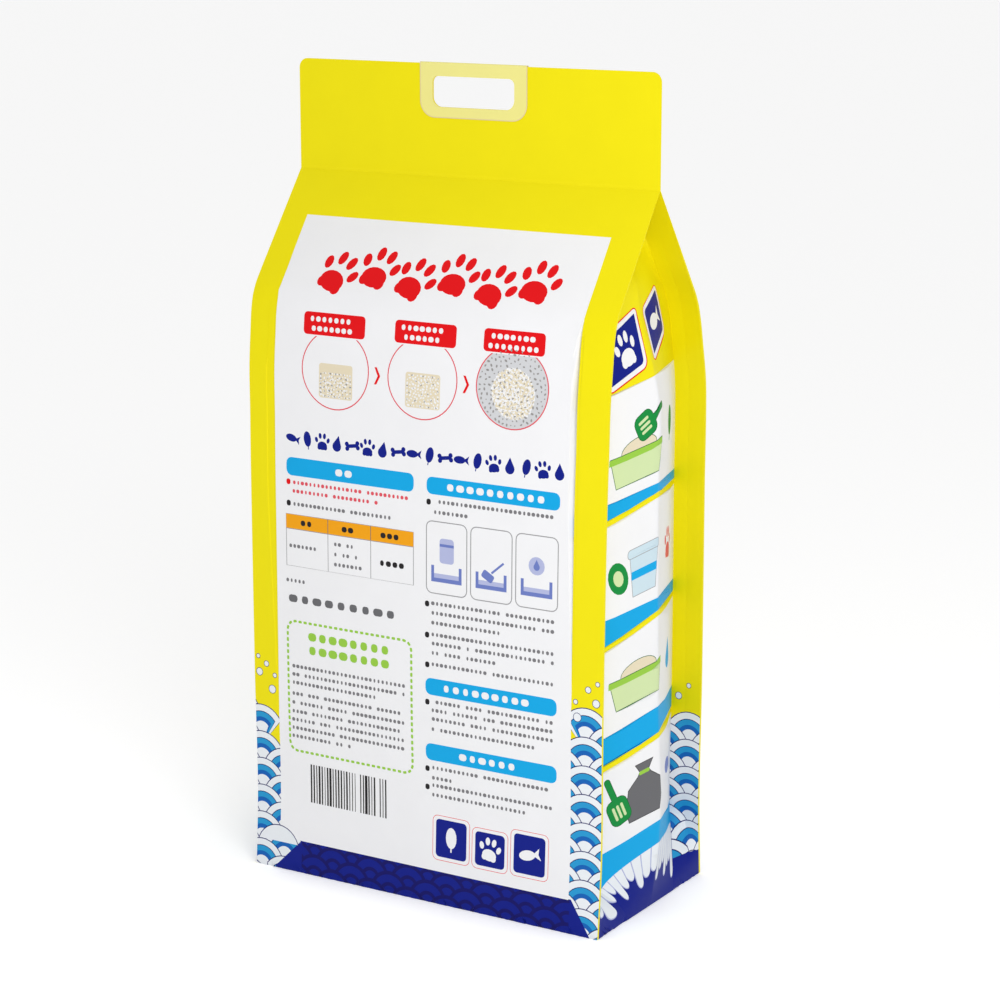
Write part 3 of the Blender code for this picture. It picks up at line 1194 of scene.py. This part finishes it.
def path_tree():
    """Stamps evenly along a closed path of edges, turned to follow it."""
    tree, start, finish = new_tree("stamps_along_path", (
        ("Stamp", "Object"), ("Count", "Int"), ("Ink", "Material"),
    ))
    link = tree.links.new
    curve = tree.nodes.new("GeometryNodeMeshToCurve")
    link(start.outputs["Geometry"], curve.inputs["Mesh"])
    even = tree.nodes.new("GeometryNodeResampleCurve")
    link(curve.outputs["Curve"], even.inputs["Curve"])
    link(start.outputs["Count"], even.inputs["Count"])
    tangent = tree.nodes.new("GeometryNodeInputTangent")
    turn = tree.nodes.new("FunctionNodeAlignEulerToVector")
    turn.axis = "X"
    link(tangent.outputs["Tangent"], turn.inputs["Vector"])
    stamped(tree, (start, finish), even.outputs["Curve"], rotation=turn.outputs["Rotation"])
    return tree


def scatter_tree():
    """Stamps scattered over faces, no nearer than their spacing, at random turns and sizes."""
    tree, start, finish = new_tree("scattered_stamps", (
        ("Stamp", "Object"), ("Spacing", "Float"), ("Least Size", "Float"), ("Seed", "Int"),
        ("Ink", "Material"),
    ))
    link = tree.links.new
    spread = tree.nodes.new("GeometryNodeDistributePointsOnFaces")
    spread.distribute_method = "POISSON"
    link(start.outputs["Geometry"], spread.inputs["Mesh"])
    link(start.outputs["Spacing"], spread.inputs["Distance Min"])
    spread.inputs["Density Max"].default_value = 40.0
    link(start.outputs["Seed"], spread.inputs["Seed"])
    turn = tree.nodes.new("ShaderNodeCombineXYZ")
    link(random_number(tree, 0.0, math.tau, start.outputs["Seed"]), turn.inputs["Z"])
    size = random_number(tree, start.outputs["Least Size"], 1.0, start.outputs["Seed"])
    scale = tree.nodes.new("ShaderNodeCombineXYZ")
    link(size, scale.inputs["X"])
    link(size, scale.inputs["Y"])
    scale.inputs["Z"].default_value = 1.0
    stamped(
        tree, (start, finish), spread.outputs["Points"],
        rotation=turn.outputs["Vector"], scale=scale.outputs["Vector"],
    )
    return tree


def flat_print(tree, carrier_data, settings):
    """What a tree makes of a flat mesh, as a plain mesh."""
    carrier = add_piece("carrier", carrier_data)
    modifier = carrier.modifiers.new(tree.name, "NODES")
    modifier.node_group = tree
    for item in tree.interface.items_tree:
        if item.in_out == "INPUT" and item.name in settings:
            modifier[item.identifier] = settings[item.name]
    bpy.context.view_layer.update()
    graph = bpy.context.evaluated_depsgraph_get()
    flat = bpy.data.meshes.new_from_object(carrier.evaluated_get(graph), depsgraph=graph)
    carrier.modifiers.clear()
    bpy.data.objects.remove(carrier)
    return flat


def row_starts(rows, pitch):
    """A mesh with a point where each row starts, and the row's count of stamps."""
    data = bpy.data.meshes.new("row_starts")
    data.from_pydata([(u, v, 0.0) for u, v, length in rows], [], [])
    counts = data.attributes.new("count", "INT", "POINT")
    counts.data.foreach_set("value", [max(int(round(length / pitch)), 1) for u, v, length in rows])
    return data


def outline_mesh(outline, filled):
    """An outline as a face, or as a loop of edges."""
    count = len(outline)
    edges = [] if filled else [(number, (number + 1) % count) for number in range(count)]
    faces = [list(range(count))] if filled else []
    data = bpy.data.meshes.new("outline")
    data.from_pydata([(u, v, 0.0) for u, v in outline], edges, faces)
    return data


# Rows of small bars that stand where the print has its wording: (u, v, length) of each row
BODY_ROWS = (
    (-110.5, 283.0, 89), (-114.5, 251.5, 29), (-74.0, 257.5, 20), (-74.0, 250.0, 22),
    (-74.0, 242.5, 26), (-117.8, 225.3, 18),
    (-113.4, 160.3, 101), (-113.5, 154.0, 101), (-113.7, 147.7, 76), (-114.0, 139.2, 99),
    (-114.2, 132.3, 101), (-114.5, 125.5, 99), (-114.8, 119.0, 101), (-115.0, 112.6, 101),
    (-115.2, 106.2, 53),
    (12.6, 299.6, 97), (12.6, 291.9, 30), (10.7, 225.4, 101), (10.7, 218.4, 101),
    (10.7, 211.2, 60), (10.7, 202.5, 102), (11.0, 195.9, 101), (10.7, 188.9, 55),
    (10.7, 180.5, 101),
    (10.5, 152.6, 102), (10.4, 146.2, 102), (10.8, 139.7, 101), (10.3, 132.0, 86),
    (10.2, 102.8, 98), (10.1, 95.1, 20), (10.0, 89.5, 103), (9.9, 82.3, 80),
)
RED_ROWS = ((-110.5, 299.0, 104), (-111.0, 292.6, 76))
BULLETS = (
    (-115.8, 283.3, 1), (7.0, 298.8, 1), (5.8, 224.6, 1), (5.8, 201.7, 1), (5.9, 179.7, 1),
    (5.8, 151.9, 1), (5.1, 101.6, 1), (4.9, 87.6, 1),
)
HEAD_ROWS = ((-103.0, 269.4, 11), (-66.0, 269.4, 11), (-32.0, 269.4, 17), (-33.0, 249.0, 22))
MAKER_ROWS = ((-113.0, 211.8, 98),)
GREEN_ROWS = ((-96.0, 184.6, 74), (-96.0, 174.2, 74))
BAR_ROWS = ((-70.5, 310.6, 17), (25.0, 310.8, 78), (22.0, 163.8, 76), (35.5, 114.7, 50))
PILL_ROWS = (
    (-95.5, 420.3, 38), (-94.0, 413.4, 36), (-17.5, 420.6, 38), (-15.0, 413.8, 32),
    (56.5, 420.9, 36), (54.5, 414.0, 40),
)
STRIPE_ROWS = ((-99.6, 71.3, 70),)
DASHED_BOX = (-118.6, 94.8, -7.9, 194.6)


def row_print(rows, wide, high, pitch, ink, least=0.5, left_out=0.08, seed=1, steps=2):
    """Rows of round-ended bars in one ink."""
    radius = min(wide, high) * 0.42
    outline = rounded(-wide / 2, -high / 2, wide / 2, high / 2, radius, steps)
    bar = stamp("bar", outline)
    settings = {
        "Stamp": bar, "Pitch": pitch, "Least Width": least, "Left Out": left_out, "Seed": seed,
        "Ink": ink_materials[ink],
    }
    flat = flat_print(trees["rows"], row_starts(rows, pitch), settings)
    bpy.data.objects.remove(bar)
    return flat


def stripe_print():
    """Upright black stripes of random widths, which stand for no number."""
    left, right, low, high = -1.15, 1.15, -14.8, 14.8
    rises = spaced(low, high, 4.0)
    outline = [(right, v) for v in rises] + [(left, v) for v in rises[::-1]]
    stripe = stamp("stripe", np.array(outline))
    settings = {
        "Stamp": stripe, "Pitch": 2.5, "Least Width": 0.2, "Left Out": 0.06, "Seed": 12,
        "Ink": ink_materials["black"],
    }
    flat = flat_print(trees["rows"], row_starts(STRIPE_ROWS, 2.5), settings)
    bpy.data.objects.remove(stripe)
    return flat


def dash_print():
    """The green dashed frame in the left column."""
    dash = stamp("dash", rounded(-1.5, -0.95, 1.5, 0.95, 0.6, 2))
    settings = {"Stamp": dash, "Count": 88, "Ink": ink_materials["lime"]}
    flat = flat_print(trees["path"], outline_mesh(rounded(*DASHED_BOX, 7.0), False), settings)
    bpy.data.objects.remove(dash)
    return flat


def grain_print(outline, size, spacing, ink, seed, least=0.45):
    """Litter grains scattered inside an outline."""
    grain = stamp("grain", oval(0, 0, size, size * 0.62, steps=8))
    settings = {
        "Stamp": grain, "Spacing": spacing, "Least Size": least, "Seed": seed, "Ink": ink_materials[ink],
    }
    flat = flat_print(trees["scatter"], outline_mesh(outline, True), settings)
    bpy.data.objects.remove(grain)
    return flat


def grains_in_circles():
    """Grains in the first two circles' boxes, and round and in the third one's clump."""
    meshes = []
    for number, (u, v) in enumerate(CIRCLES[:2]):
        heap = rounded(u - 12.4, v - 19.6, u + 13.4, v - 3 + 5 * number, 1.5)
        meshes.append(grain_print(heap, 2.6, 2.0, "panel_white", 3 + number))
        meshes.append(grain_print(heap, 2.0, 3.0 + 2 * number, "pebble", 5 + number))
    u, v = CIRCLES[2]
    meshes.append(grain_print(oval(u, v, 53, 53, steps=32), 2.6, 3.1, "pebble", 9))
    meshes.append(grain_print(oval(u + 1, v - 4, 33, 35, 20, 24), 4.2, 2.2, "panel_white", 10))
    meshes.append(grain_print(oval(u + 1, v - 4, 32, 34, 20, 24), 3.6, 2.6, "beige", 11))
    return meshes


def laid_on_film(meshes, name):
    """Flat prints in one mesh, laid on the film, each with its ink."""
    points = []
    faces = []
    inks = []
    names = []
    for flat in meshes:
        ink = next(material.name for material in flat.materials if material)
        if ink not in names:
            names.append(ink)
        first = sum(map(len, points))
        places = np.zeros(len(flat.vertices) * 3)
        flat.vertices.foreach_get("co", places)
        points.append(places.reshape(-1, 3))
        for face in flat.polygons:
            faces.append([corner + first for corner in face.vertices])
            inks.append(names.index(ink))
        bpy.data.meshes.remove(flat)
    places = np.concatenate(points)
    u, v = places[:, 0], places[:, 1]
    laid = film_point(u, v) + film_normal(u, v) * places[:, 2:] * MM
    data = bpy.data.meshes.new(name)
    data.from_pydata(laid.tolist(), [], faces)
    data.polygons.foreach_set("material_index", inks)
    for ink in names:
        data.materials.append(ink_materials[ink])
    return data


trees = {"rows": row_tree(), "path": path_tree(), "scatter": scatter_tree()}
fine_meshes = [
    row_print(BODY_ROWS, 3.0, 2.7, 3.65, "print_grey", least=0.5, left_out=0.06, seed=1),
    row_print(RED_ROWS, 3.0, 2.7, 3.65, "soft_red", least=0.5, left_out=0.06, seed=2),
    row_print(BULLETS, 3.6, 4.2, 4.0, "black", least=1.0, left_out=0.0, seed=3, steps=4),
    row_print(((-115.8, 299.2, 1),), 3.6, 4.2, 4.0, "red", least=1.0, left_out=0.0, seed=3, steps=4),
    row_print(HEAD_ROWS, 4.8, 4.0, 5.6, "black", least=0.6, left_out=0.0, seed=4),
    row_print(MAKER_ROWS, 8.8, 5.6, 10.9, "sack_grey", least=0.6, left_out=0.0, seed=5),
    row_print(GREEN_ROWS, 8.0, 6.2, 9.3, "lime", least=0.7, left_out=0.0, seed=6),
    row_print(BAR_ROWS, 6.6, 5.0, 8.2, "panel_white", least=0.6, left_out=0.0, seed=7),
    row_print(PILL_ROWS, 4.4, 3.8, 5.2, "panel_white", least=0.6, left_out=0.0, seed=8),
    stripe_print(), dash_print(), *grains_in_circles(),
]
fine_print = add_piece("fine_print", laid_on_film(fine_meshes, "fine_print"))
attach(fine_print, "root")

# The patch round the hand hole: one sheet, folded over the header's top edge

PATCH_FILM = 0.30
PATCH_CLEAR = 0.15
PATCH_RIM = 0.7
PATCH_SIDE = FIN_FILM / MM + PATCH_CLEAR + PATCH_FILM / 2
FOLD_LENGTH = math.pi * PATCH_SIDE
FOLD_STEPS = 8


def patch_outline(inset=0.0):
    """The unfolded patch: across, and up from the header's top edge, which is folded last."""
    half = PATCH_WIDTH / 2 / MM - inset
    length = HEIGHT / MM - PATCH_LOW / MM + FOLD_LENGTH / 2 - inset
    return rounded(-half, -length, half, length, PATCH_CORNER / MM - inset, 8)


def folded(x, s):
    """Places and outward directions on the folded sheet's middle, in millimetres."""
    flat = np.maximum(np.abs(s) - FOLD_LENGTH / 2, 0.0)
    angle = np.clip(s / PATCH_SIDE, -math.pi / 2, math.pi / 2)
    y = PATCH_SIDE * np.sin(angle)
    z = HEIGHT / MM + PATCH_SIDE * np.cos(angle) - flat
    places = np.stack([x, HEADER_OFFSET / MM + y, z], axis=-1)
    outward = np.stack([np.zeros_like(x), np.sin(angle), np.cos(angle)], axis=-1)
    return places, outward


def patch_holes():
    """The hand hole's outline on the front half and on the back half of the unfolded patch."""
    hole = hole_outline()
    down = HEIGHT / MM - hole[:, 1] + FOLD_LENGTH / 2
    return [np.stack([hole[:, 0], side * down], axis=-1) for side in (-1, 1)]


def patch_mesh():
    """The folded sheet as a closed thin body, with a rim of another colour."""
    edge = patch_outline()
    rim = patch_outline(PATCH_RIM)
    holes = patch_holes()
    points = []
    lines = []
    for outline in (edge, rim, *holes):
        first = len(points)
        count = len(outline)
        points.extend(map(tuple, outline))
        lines.extend((first + number, first + (number + 1) % count) for number in range(count))
    half = PATCH_WIDTH / 2 / MM
    for s in spaced(-FOLD_LENGTH / 2, FOLD_LENGTH / 2, FOLD_LENGTH / FOLD_STEPS):
        lines.append((len(points), len(points) + 1))
        points.extend([(-half, s), (half, s)])
    found = delaunay_2d_cdt([Vector(point) for point in points], lines, [], 0, NEAREST)
    places = np.array([tuple(point) for point in found[0]])
    faces = np.array(found[2])
    middles = places[faces].mean(axis=1)
    kept = inside_outline(middles, edge)
    for hole in holes:
        kept &= ~inside_outline(middles, hole)
    faces = faces[kept]
    in_rim = ~inside_outline(middles[kept], rim)
    centre, outward = folded(places[:, 0], places[:, 1])
    count = len(places)
    both = np.concatenate([centre + outward * PATCH_FILM / 2, centre - outward * PATCH_FILM / 2]) * MM
    sides = {}
    for face in faces:
        for start, end in zip(face, np.roll(face, -1)):
            sides[(int(start), int(end))] = True
    walls = [
        (start, start + count, end + count, end) for start, end in sides if (end, start) not in sides
    ]
    data = bpy.data.meshes.new("folded_patch")
    every = [*faces.tolist(), *(faces[:, ::-1] + count).tolist(), *walls]
    data.from_pydata(both.tolist(), [], every)
    inks = [*in_rim.astype(int), *in_rim.astype(int), *([1] * len(walls))]
    data.polygons.foreach_set("material_index", inks)
    mesh = bmesh.new()
    mesh.from_mesh(data)
    loose = [vert for vert in mesh.verts if not vert.link_faces]
    bmesh.ops.delete(mesh, geom=loose, context="VERTS")
    bmesh.ops.recalc_face_normals(mesh, faces=mesh.faces)
    mesh.to_mesh(data)
    mesh.free()
    data.shade_flat()
    data.materials.append(ink_materials["patch_yellow"])
    data.materials.append(ink_materials["patch_rim"])
    return data


folded_patch = add_piece("folded_patch", patch_mesh())
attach(folded_patch, "root")
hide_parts("handle_patch")

# Floor, light and camera

CAMERA_PLACE = Vector((1.0208, -1.6316, 0.7235))
CAMERA_AROUND = math.radians(31.5244)
CAMERA_ABOVE = math.radians(12.8516)
CAMERA_LENS = 97.34
LAMP_PLACE = Vector((0.85, -0.85, 0.85))
LAMP_AIM = Vector((0.0, 0.0, 0.30))
LAMP_SIZE = 0.7
LAMP_POWER = 7.8
WORLD_LIGHT = 0.58
TOP_LIGHT = 0.6
FLOOR_PALENESS = 0.95
FLOOR_GLOW = 0.2


def studio():
    """A pale floor under white light from all round, with a soft lamp from the front right."""
    floor_data = bpy.data.meshes.new("floor")
    reach = 40.0
    corners = [(-reach, -reach, 0), (reach, -reach, 0), (reach, reach, 0), (-reach, reach, 0)]
    floor_data.from_pydata(corners, [], [(0, 1, 2, 3)])
    floor = add_piece("floor", floor_data)
    paper = bpy.data.materials.new("floor_paper")
    paper.use_nodes = True
    shader = paper.node_tree.nodes["Principled BSDF"]
    shader.inputs["Base Color"].default_value = (FLOOR_PALENESS, FLOOR_PALENESS, FLOOR_PALENESS, 1.0)
    shader.inputs["Roughness"].default_value = 0.9
    shader.inputs["Specular IOR Level"].default_value = 0.1
    shader.inputs["Emission Color"].default_value = (1.0, 1.0, 1.0, 1.0)
    shader.inputs["Emission Strength"].default_value = FLOOR_GLOW
    floor_data.materials.append(paper)
    world = bpy.data.worlds.new("studio")
    world.use_nodes = True
    world.node_tree.nodes["Background"].inputs["Color"].default_value = (1.0, 1.0, 1.0, 1.0)
    world.node_tree.nodes["Background"].inputs["Strength"].default_value = WORLD_LIGHT
    bpy.context.scene.world = world
    lamp_data = bpy.data.lights.new("soft_lamp", "AREA")
    lamp_data.shape = "DISK"
    lamp_data.size = LAMP_SIZE
    lamp_data.energy = LAMP_POWER
    lamp = bpy.data.objects.new("soft_lamp", lamp_data)
    lamp.location = LAMP_PLACE
    lamp.rotation_euler = (LAMP_AIM - LAMP_PLACE).to_track_quat("-Z", "Y").to_euler()
    bpy.context.scene.collection.objects.link(lamp)
    top_data = bpy.data.lights.new("top_lamp", "SUN")
    top_data.energy = TOP_LIGHT
    top_data.angle = math.radians(60)
    bpy.context.scene.collection.objects.link(bpy.data.objects.new("top_lamp", top_data))
    bpy.context.scene.view_settings.view_transform = "Standard"


def camera():
    data = bpy.data.cameras.new("camera")
    data.lens = CAMERA_LENS
    data.sensor_width = 36.0
    data.clip_end = 100.0
    eye = bpy.data.objects.new("camera", data)
    eye.location = CAMERA_PLACE
    back = Vector((
        math.sin(CAMERA_AROUND) * math.cos(CAMERA_ABOVE),
        -math.cos(CAMERA_AROUND) * math.cos(CAMERA_ABOVE),
        math.sin(CAMERA_ABOVE),
    ))
    eye.rotation_euler = (-back).to_track_quat("-Z", "Y").to_euler()
    bpy.context.scene.collection.objects.link(eye)
    bpy.context.scene.camera = eye


studio()
camera()
